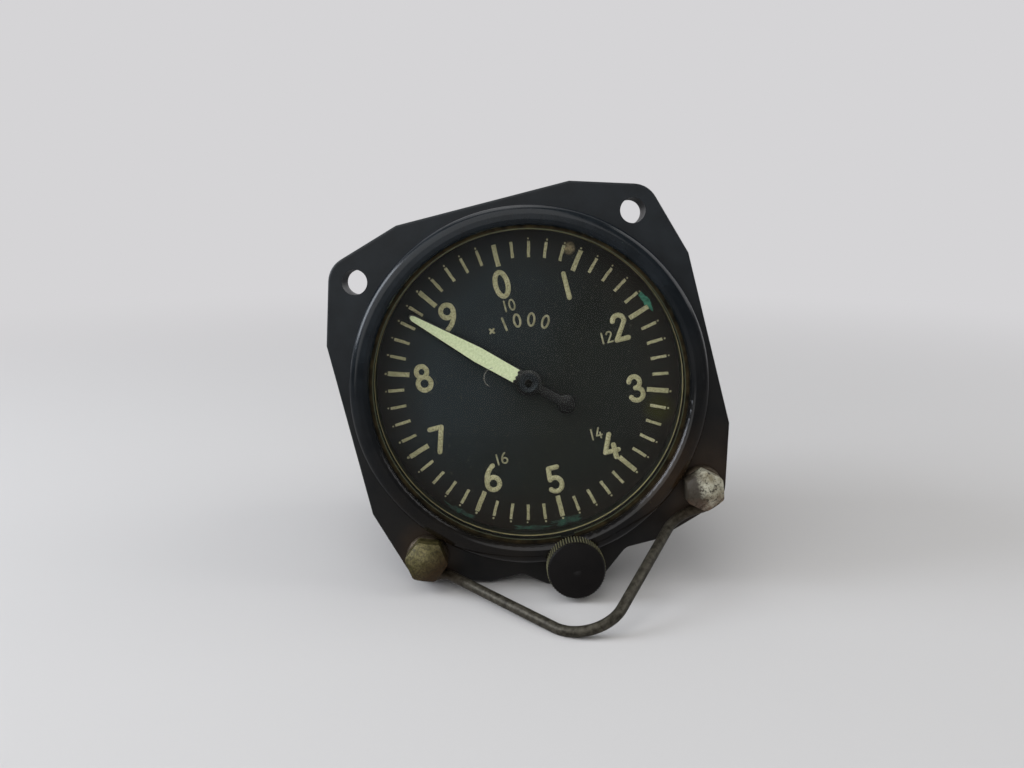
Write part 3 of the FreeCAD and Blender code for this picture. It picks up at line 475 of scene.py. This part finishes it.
def paint_marks(name, material_name, roughness, brush_w, colours, thick, patches):
    """Smears of one paint: each is (angle, radius in mm, sweep, width in mm, raggedness)."""
    paint, shader = new_material(material_name, Roughness=roughness)
    brush = noise(paint, surface_place(paint), brush_w, 5.0)
    feed(paint, shader, "Base Color", mix(paint, ramp(paint, brush, 0.4, 0.6), *colours))
    work = bmesh.new()
    for angle, radius, sweep, width, rough in patches:
        smear(work, angle, radius * mm, sweep, width * mm, rough)
    lift(work, thick)
    finish_piece(name, work, paint, "case", smooth=False)


paint_marks("teal_mark", "teal mark paint", 0.5, 0.9 * mm, ("#1F5A4A", "#3F8A74"), 0.06 * mm,
            [(69.5, 32.2, 8.5, 1.5, 0.3)])
paint_marks("green_marks", "old green mark paint", 0.6, 1.1 * mm, ("#14241F", "#23483C"), 0.04 * mm,
            [(178.5, 33.1, 11, 1.7, 0.5), (193, 33.6, 13, 0.9, 0.5), (222, 33.5, 12, 1.0, 0.5)])

# ---- Cover glass ------------------------------------------------------------
# Flat clear glass. Age has left dust specks on it and one hooked scratch near the hub.
# Lamps and light from the dial pass straight through it.

clear_tint = linear("#FAFCF8")
glass, shader = new_material("clear flat glass", Transmission_Weight=1.0, IOR=1.16, Roughness=0.01,
                             Base_Color=clear_tint)
place = surface_place(glass)
axes = add(glass, "SeparateXYZ", {"Vector": place})
grains = add(glass, "TexVoronoi", {"Vector": place, "Scale": 1 / (2.6 * mm)})
speck = maths(glass, "MULTIPLY", ramp(glass, grains.outputs["Distance"], 0.1, 0.05),
              ramp(glass, grains.outputs["Color"], 0.45, 0.8, 0.0, 0.8))
# the scratch is part of a circle 4.3 mm across
near = distance(glass, place, (-7.1 * mm, -1.65 * mm, 3.66 * mm))
circle = maths(glass, "COMPARE", near, 2.16 * mm, 0.09 * mm)
left = maths(glass, "LESS_THAN", axes.outputs["X"], -6.8 * mm)
above = maths(glass, "GREATER_THAN", axes.outputs["Z"], 2.0 * mm)
hook = maths(glass, "MULTIPLY", maths(glass, "MULTIPLY", left, above), circle)
dirt = maths(glass, "MAXIMUM", speck, maths(glass, "MULTIPLY", hook, 0.35))
outside = maths(glass, "LESS_THAN", axes.outputs["Y"], -1.6 * mm)
dirt = maths(glass, "MULTIPLY", dirt, outside)
film = add(glass, "BsdfDiffuse", {"Color": linear("#A9A79A")})
dirty = add(glass, "MixShader", {0: dirt, 1: shader, 2: film})
rays = add(glass, "LightPath")
through = maths(glass, "MAXIMUM", rays.outputs["Is Shadow Ray"], rays.outputs["Is Diffuse Ray"])
clear = add(glass, "BsdfTransparent", {"Color": clear_tint})
both = add(glass, "MixShader", {0: through, 1: dirty, 2: clear})
feed(glass, glass.node_tree.nodes["Material Output"], "Surface", both)
dress(glass, "cover_glass")

# ---- Hand -------------------------------------------------------------------
# The hand is stamped from thin sheet and painted black. Its blade carries a stripe of
# paler, fresher luminous paint that stops in a ragged end before the hub.

hand_angle = 313.7
hand_front, hand_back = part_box("pointer")[0].y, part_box("pointer")[1].y


def pad(points, y, height):
    """A flat outline in mm, pulled forward from a depth, and its front face."""
    work = bmesh.new()
    face = work.faces.new([work.verts.new((x * mm, y, z * mm)) for x, z in points])
    return work, raise_faces(work, [face], height)


def turn_to_hand(work):
    """Turns what is drawn at 12 o'clock to the place of the hand."""
    bmesh.ops.rotate(work, verts=work.verts,
                     matrix=Matrix.Rotation(math.radians(hand_angle), 3, "Y"))
    bmesh.ops.recalc_face_normals(work, faces=work.faces)


def spun(profile, steps, closed=False):
    """A form turned round the Y axis from a profile of (radius, y)."""
    work = bmesh.new()
    line = [work.verts.new((r, y, 0)) for r, y in profile]
    edges = [work.edges.new(pair) for pair in zip(line, line[1:] + line[:1] * closed)]
    bmesh.ops.spin(work, geom=line + edges, cent=(0, 0, 0), axis=(0, 1, 0), angle=2 * math.pi,
                   steps=steps, use_merge=True)
    return work


hand_black, shader = new_material("black hand paint", Roughness=0.22, Specular_IOR_Level=0.35)
chips = noise(hand_black, surface_place(hand_black), 0.8 * mm, 4.0)
chips = ramp(hand_black, chips, 0.6, 0.72, 0.0, 0.5)
feed(hand_black, shader, "Base Color", mix(hand_black, chips, "#0B0B0C", "#3A3A35"))

# one side of the hand in mm, from its tip past the hub to its round tail
side = (arc(0, 30.05, 0.85, 0.85, 0, 90) + [(1.95, 13.0)] + arc(0, 0, 3.0, 3.0, 36.6, 158.5)
        + arc(0, -9.8, 2.15, 2.15, 30.8, 180))
plate, front = pad(side + [(-x, z) for x, z in side[-2:0:-1]], hand_back, hand_back - hand_front)
bmesh.ops.bevel(plate, geom=[e for f in front for e in f.edges], offset=0.13 * mm, segments=3,
                profile=0.5, affect="EDGES", material=-1)
turn_to_hand(plate)
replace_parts(finish_piece("hand_plate", plate, hand_black, "hand"), "pointer")

oxide, shader = new_material("black oxide steel", Metallic=0.7)
blot = noise(oxide, surface_place(oxide), 0.7 * mm, 3.0)
feed(oxide, shader, "Base Color", mix(oxide, blot, "#15171A", "#2E3338"))
feed(oxide, shader, "Roughness", between(oxide, blot, 0.1, 0.22))

hub_front, hub_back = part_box("pointer_collet")[0].y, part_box("pointer_collet")[1].y
bore_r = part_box("hand_staff")[1].x
# radius and depth in mm from the recess round the staff, over the rounded rim, to the neck
rim = ((1.5, 0.25), (1.72, 0.06), (1.92, 0.0), (2.12, 0.05), (2.25, 0.18), (2.3, 0.36),
       (2.3, 0.6), (1.6, 0.6))
profile = [(bore_r, hub_front + 0.25 * mm), *[(r * mm, hub_front + y * mm) for r, y in rim],
           (1.6 * mm, hub_back), (bore_r, hub_back)]
hub = spun(profile, 64, closed=True)
bmesh.ops.recalc_face_normals(hub, faces=hub.faces)
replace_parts(finish_piece("hand_hub", hub, oxide, "hand"), "pointer_collet")

fresh_lume, shader = new_material("pale luminous paint", Roughness=0.8, Specular_IOR_Level=0.25)
grit = noise(fresh_lume, surface_place(fresh_lume), 0.5 * mm, 4.0)
feed(fresh_lume, shader, "Base Color", mix(fresh_lume, ramp(fresh_lume, grit, 0.35, 0.65),
                                           "#D9E1B8", "#EFF4D2"))
emboss(fresh_lume, shader, grit, 0.4, 0.05 * mm)

side = [(1.58, 3.1), (1.73, 13.0), (0.62, 29.6), (0.35, 30.25), (0, 30.45)]
ragged_end = [(-1.2, 3.35), (-0.7, 2.95), (-0.2, 3.3), (0.4, 3.0), (1.0, 3.4)]
stripe, crown = pad(side + [(-x, z) for x, z in side[-2::-1]] + ragged_end, hand_front + seat,
                    0.13 * mm + seat)
bmesh.ops.inset_region(stripe, faces=crown, thickness=0.3 * mm, depth=0.0)
bmesh.ops.translate(stripe, verts=[v for f in crown for v in f.verts], vec=(0, -0.09 * mm, 0))
turn_to_hand(stripe)
finish_piece("hand_stripe", stripe, fresh_lume, "hand", smooth=False)

# ---- Knob -------------------------------------------------------------------
# The setting knob is turned in brown-black phenolic with a straight knurl, whose ridges
# are worn to a greyer olive by fingers.

knob_z = -40.25 * mm
knob_brown, shader = new_material("turned phenolic knob", Specular_IOR_Level=0.22)
place = surface_place(knob_brown)
centred = add(knob_brown, "Mapping", {"Vector": place, "Location": (0, 0, -knob_z)})
ridge = ramp(knob_brown, from_axis(knob_brown, centred), 6.18 * mm, 6.33 * mm)
blot = noise(knob_brown, place, 2.2 * mm, 5.0)
wear = maths(knob_brown, "MULTIPLY", ridge, ramp(knob_brown, blot, 0.3, 0.6, 0.6))
colour = mix(knob_brown, blot, "#080707", "#14100F")
feed(knob_brown, shader, "Base Color", mix(knob_brown, wear, colour, "#8A8768"))
feed(knob_brown, shader, "Roughness", between(knob_brown, blot, 0.42, 0.6))
dress(knob_brown, "knob")

# ---- Nuts, screws and wire stand --------------------------------------------
# Cap nuts on slotted screws clamp a stand bent from round galvanised wire. The left nut
# has a dull olive plating; the right one has gone chalky white with dark pits.

nut_dome = 2.1 * mm
nut_cap = 1.7 * mm
nut_bore_r = 2.42 * mm


def cap_nut(name, node, side, flats, turn, material):
    """A nut turned from hexagon bar, whose low dome leaves arched edges over the flats."""
    front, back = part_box(node)[0].y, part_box(node)[1].y
    turned_r = 0.97 * flats / math.sqrt(3)
    profile = [(turned_r * k / 9, front + nut_dome * (k / 9) ** 2) for k in range(10)]
    profile += [(turned_r, back), (nut_bore_r, back), (nut_bore_r, front + nut_cap),
                (0, front + nut_cap)]
    work = spun(profile, 72)
    bmesh.ops.remove_doubles(work, verts=work.verts, dist=0.001 * mm)
    sides = []
    for k in range(6):
        away = Matrix.Rotation(math.radians(turn + 60 * k), 3, "Y") @ Vector((0, 0, 1))
        cut = bmesh.ops.bisect_plane(work, geom=work.verts[:] + work.edges[:] + work.faces[:],
                                     dist=1e-7, plane_co=away * flats / 2, plane_no=away,
                                     clear_outer=True)["geom_cut"]
        sides += bmesh.ops.contextual_create(work, geom=[
            e for e in cut if isinstance(e, bmesh.types.BMEdge)])["faces"]
    bmesh.ops.recalc_face_normals(work, faces=work.faces)
    corners = dict.fromkeys(e for f in sides for e in f.edges
                            if min(v.co.y for v in e.verts) < back - 0.1 * mm)
    bmesh.ops.bevel(work, geom=list(corners), offset=0.1 * mm, segments=2, profile=0.5,
                    affect="EDGES", material=-1, clamp_overlap=True)
    bmesh.ops.translate(work, verts=work.verts, vec=(side * lug_at, 0, -lug_at))
    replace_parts(finish_piece(name, work, material, "case"), node)


olive_plate, shader = new_material("dull olive plating", Metallic=0.5)
place = surface_place(olive_plate)
blot = noise(olive_plate, place, 1.6 * mm, 6.0, Roughness=0.65)
pits = noise(olive_plate, place, 0.45 * mm, 4.0)
colour = mix(olive_plate, ramp(olive_plate, blot, 0.35, 0.65), "#47421F", "#746C47")
# painted shade: the lower right is painted rust brown
lower_shade = along(olive_plate, place, (0.45, 0, -0.89))
colour = mix(olive_plate, ramp(olive_plate, lower_shade, 12.5 * mm, 16.5 * mm, 0.0, 0.85), colour, "#432D1A")
dark = ramp(olive_plate, pits, 0.4, 0.55, 0.55, 0.0)
feed(olive_plate, shader, "Base Color", mix(olive_plate, dark, colour, "#2E2A1D"))
feed(olive_plate, shader, "Roughness", between(olive_plate, blot, 0.3, 0.6))
emboss(olive_plate, shader, pits, 0.5, 0.05 * mm)
cap_nut("nut_olive", "acorn_nut_left", -1, 8.3 * mm, 21.3, olive_plate)

chalk_plate, shader = new_material("chalky corroded plating", Metallic=0.15)
place = surface_place(chalk_plate)
axes = add(chalk_plate, "SeparateXYZ", {"Vector": place})
blot = noise(chalk_plate, place, 2.4 * mm, 6.0, Roughness=0.7)
pits = noise(chalk_plate, place, 0.85 * mm, 5.0, Roughness=0.7)
colour = mix(chalk_plate, ramp(chalk_plate, blot, 0.38, 0.6), "#827A62", "#B7B4A0")
# painted shade: the left side is painted dark brown; painted reflection: the lower side is painted
# pinkish brown
ragged = maths(chalk_plate, "MULTIPLY_ADD", blot, 5 * mm, axes.outputs["X"])
left_shade = ramp(chalk_plate, ragged, 34.4 * mm, 32.2 * mm, 0.0, 0.9)
colour = mix(chalk_plate, left_shade, colour, "#241A10")
ragged = maths(chalk_plate, "MULTIPLY_ADD", blot, 4 * mm, axes.outputs["Z"])
lower_reflection = ramp(chalk_plate, ragged, -30.0 * mm, -33.5 * mm, 0.0, 0.7)
colour = mix(chalk_plate, lower_reflection, colour, "#6E5140")
dark = ramp(chalk_plate, pits, 0.4, 0.48, 0.9, 0.0)
feed(chalk_plate, shader, "Base Color", mix(chalk_plate, dark, colour, "#33291D"))
feed(chalk_plate, shader, "Roughness", between(chalk_plate, blot, 0.45, 0.8))
emboss(chalk_plate, shader, pits, 0.5, 0.06 * mm)
cap_nut("nut_chalky", "acorn_nut_right", 1, 7.94 * mm, 39.8, chalk_plate)

galvanised, shader = new_material("dull galvanised wire", Metallic=0.6)
place = surface_place(galvanised)
blot = noise(galvanised, place, 1.2 * mm, 6.0, Roughness=0.65)
colour = mix(galvanised, ramp(galvanised, blot, 0.36, 0.64), "#2D2920", "#59554A")
# rust spreads from under the nuts
for side in (-1, 1):
    near = distance(galvanised, place, (side * lug_at, 0, -lug_at))
    halo = ramp(galvanised, near, 12 * mm, 5 * mm, 0.0, 0.8)
    colour = mix(galvanised, maths(galvanised, "MULTIPLY", halo, blot), colour, "#46321C")
feed(galvanised, shader, "Base Color", colour)
feed(galvanised, shader, "Roughness", between(galvanised, blot, 0.35, 0.62))
emboss(galvanised, shader, blot, 0.3, 0.05 * mm)
dress(galvanised, "stand_wire")

zinc, shader = new_material("zinc-plated steel", Metallic=0.9)
blot = noise(zinc, surface_place(zinc), 1.5 * mm, 5.0)
feed(zinc, shader, "Base Color", mix(zinc, blot, "#6B675C", "#A8A498"))
feed(zinc, shader, "Roughness", between(zinc, blot, 0.3, 0.6))
dress(zinc, "stand_screws", "knob_set_screw")

# ---- Brass bush, retaining ring and static port -----------------------------
# All are machined from brass bar. The port insert is moulded into the back, with a
# hexagon outside to hold it while a fitting is screwed in, and has dulled with age.

brass, shader = new_material("dulled machined brass", Metallic=1.0)
place = surface_place(brass)
blot = noise(brass, place, 2.5 * mm, 5.0)
cuts = drawn_out(brass, place, (4 * mm, 0.12 * mm, 4 * mm), 2.0)
feed(brass, shader, "Base Color", mix(brass, ramp(brass, blot, 0.35, 0.65), "#7E6636", "#BFA05C"))
feed(brass, shader, "Roughness", between(brass, blot, 0.25, 0.5))
emboss(brass, shader, cuts, 0.15, 0.02 * mm)
dress(brass, "static_port_insert", "knob_bushing", "turntable_retainer")

# ---- Movement ---------------------------------------------------------------
# The plates, pillars and gears are brass, brighter than outside because the case keeps
# them from the air. Shafts, arms and screws are steel, the capsule is beryllium copper.

bright_brass, shader = new_material("bright lapped brass", Metallic=1.0)
place = surface_place(bright_brass)
blot = noise(bright_brass, place, 6 * mm, 4.0)
cuts = drawn_out(bright_brass, place, (6 * mm, 6 * mm, 0.1 * mm), 2.0)
feed(bright_brass, shader, "Base Color", mix(bright_brass, blot, "#B8974F", "#D4B56C"))
feed(bright_brass, shader, "Roughness", between(bright_brass, cuts, 0.2, 0.42))
emboss(bright_brass, shader, cuts, 0.12, 0.01 * mm)
dress(bright_brass, "turntable_gear", "front_pillars", "movement_plate", "rear_pillars",
      "capsule_yoke", "capsule_nut", "staff_front_bush", "hairspring_collet", "hairspring_stud",
      "sector_gear", "balance_weight", "capsule_post", "knob_pinion")

steel, shader = new_material("ground steel", Metallic=1.0)
place = surface_place(steel)
cuts = drawn_out(steel, place, (3 * mm, 0.1 * mm, 3 * mm), 3.0)
colour = mix(steel, cuts, "#8A8C8E", "#B4B6B8")
# ends that come out in front of the dial are blacked, so that they don't glint
axes = add(steel, "SeparateXYZ", {"Vector": place})
blacked = ramp(steel, axes.outputs["Y"], 4.7 * mm, 4.5 * mm)
feed(steel, shader, "Base Color", mix(steel, blacked, colour, "#191816"))
feed(steel, shader, "Roughness", between(steel, cuts, 0.18, 0.38))
dress(steel, "plate_screws", "rocking_brackets", "bracket_screws", "hand_staff", "staff_pinion",
      "sector_arbor", "rocking_shaft", "calibration_arm", "drive_arm", "drop_link", "link_pin",
      "knob_shaft")

blued, shader = new_material("blued spring steel", Metallic=1.0)
blot = noise(blued, surface_place(blued), 2 * mm, 3.0)
feed(blued, shader, "Base Color", mix(blued, blot, "#27364F", "#3D5476"))
feed(blued, shader, "Roughness", between(blued, blot, 0.2, 0.35))
dress(blued, "hairspring")

ruby, shader = new_material("synthetic ruby", Roughness=0.08, IOR=1.76)
blot = noise(ruby, surface_place(ruby), 0.8 * mm, 2.0)
feed(ruby, shader, "Base Color", mix(ruby, blot, "#6E0B1E", "#A3142F"))
dress(ruby, "staff_rear_jewel")

copper, shader = new_material("beryllium copper diaphragm", Metallic=1.0)
blot = noise(copper, surface_place(copper), 8 * mm, 5.0)
feed(copper, shader, "Base Color", mix(copper, ramp(copper, blot, 0.35, 0.65), "#A07A4E", "#C9A274"))
feed(copper, shader, "Roughness", between(copper, blot, 0.25, 0.42))

# the capsule's rear is held by the yoke, and its front slides with the post
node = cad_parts["aneroid_capsule"]
mesh = node.data.copy()
mesh.transform(node.matrix_world)
mesh.materials.clear()
mesh.materials.append(copper)
capsule = put("capsule_cells", mesh)
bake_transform(capsule)
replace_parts(capsule, "aneroid_capsule")

# ---- Studio -----------------------------------------------------------------
# The instrument leans on its lower left corner, its case and the toe of the wire, so the
# pale floor is tilted under it. Soft boxes stand round it, and the camera has the photo's
# place.

floor_up = Vector((0.2471, -0.1045, 0.9633)).normalized()
floor_at = floor_up * (-44.857 * mm)
backdrop = linear("#D5D4D6")

pale, shader = new_material("pale paper floor", Base_Color=linear("#D8D6D4"), Roughness=0.9,
                            Specular_IOR_Level=0.1)
place = surface_place(pale)
rays = add(pale, "LightPath")
mirrored = rays.outputs["Is Glossy Ray"]
# seen from afar or in a mirror, the paper glows by itself
away = distance(pale, place, tuple(floor_at))
fade = ramp(pale, away, 0.12, 0.55, interpolation_type="SMOOTHSTEP")
seen = maths(pale, "MAXIMUM", rays.outputs["Is Camera Ray"], rays.outputs["Is Transmission Ray"])
glow = add(pale, "Emission", {"Color": backdrop, "Strength": between(pale, mirrored, 1.0, 0.35)})
part = maths(pale, "MAXIMUM", maths(pale, "MULTIPLY", seen, fade), mirrored)
surface = add(pale, "MixShader", {0: part, 1: shader, 2: glow})
# from below it can be seen through
behind = add(pale, "NewGeometry").outputs["Backfacing"]
surface = add(pale, "MixShader", {0: behind, 1: surface, 2: add(pale, "BsdfTransparent")})
feed(pale, pale.node_tree.nodes["Material Output"], "Surface", surface)

sheet = bmesh.new()
bmesh.ops.create_circle(sheet, cap_ends=True, segments=96, radius=0.75)
bmesh.ops.transform(sheet, verts=sheet.verts, matrix=Matrix.Translation(floor_at)
                    @ floor_up.to_track_quat("Z", "Y").to_matrix().to_4x4())
mesh = bpy.data.meshes.new("floor")
sheet.to_mesh(mesh)
sheet.free()
mesh.materials.append(pale)
floor = put("floor", mesh)

# what glossy surfaces see is the pale wall behind the object, and a darker room in front
world = bpy.data.worlds.new("soft studio")
world.use_nodes = True
bpy.context.scene.world = world
toward = add(world, "SeparateXYZ", {"Vector": add(world, "TexCoord").outputs["Generated"]})
room = ramp(world, toward.outputs["Y"], 0.0, 0.5, 0.16, 1.0, interpolation_type="SMOOTHSTEP")
rays = add(world, "LightPath")
mirrored = rays.outputs["Is Glossy Ray"]
plain = maths(world, "MAXIMUM", rays.outputs["Is Camera Ray"], rays.outputs["Is Transmission Ray"])
level = maths(world, "MAXIMUM", plain, maths(world, "MULTIPLY", mirrored, room))
light = add(world, "Background", {"Color": linear("#E8EAEE"), "Strength": 0.38})
wall = add(world, "Background", {"Color": backdrop, "Strength": level})
seen = maths(world, "MAXIMUM", plain, mirrored)
both = add(world, "MixShader", {0: seen, 1: light, 2: wall})
feed(world, world.node_tree.nodes["World Output"], "Surface", both)


def soft_box(name, place, size, watts, tint="#FFFFFF"):
    """A square area lamp that faces the instrument."""
    lamp = bpy.data.lights.new(name, "AREA")
    lamp.energy = watts
    lamp.color = linear(tint)[:3]
    lamp.size = size
    box = put(name, lamp)
    box.location = place
    box.rotation_euler = (-Vector(place)).to_track_quat("-Z", "Y").to_euler()


soft_box("window box", (-0.55, -0.08, 0.45), 0.38, 2.9, "#EEF4FF")
soft_box("front box", (-0.2, -0.75, 0.6), 1.3, 6.0)
soft_box("top box", (0.1, 0.1, 0.75), 0.4, 0.6)
soft_box("right box", (0.65, 0.0, 0.3), 0.5, 1.0)

view = bpy.data.cameras.new("camera")
view.sensor_width = 36.0
view.lens = 39.12
camera_at = (0.31 * mm, -244.97 * mm, 26.03 * mm)
ahead = Vector((-0.0159, 0.9948, -0.1011)).normalized()
right = ahead.cross(Vector((0.2491, 0.1018, 0.9631))).normalized()
up = right.cross(ahead)
camera = put("camera", view)
camera.matrix_world = Matrix.Translation(camera_at) @ Matrix(
    (right, up, -ahead)).transposed().to_4x4()
bpy.context.scene.camera = camera

bpy.context.scene.view_settings.view_transform = "Standard"

bpy.context.view_layer.update()
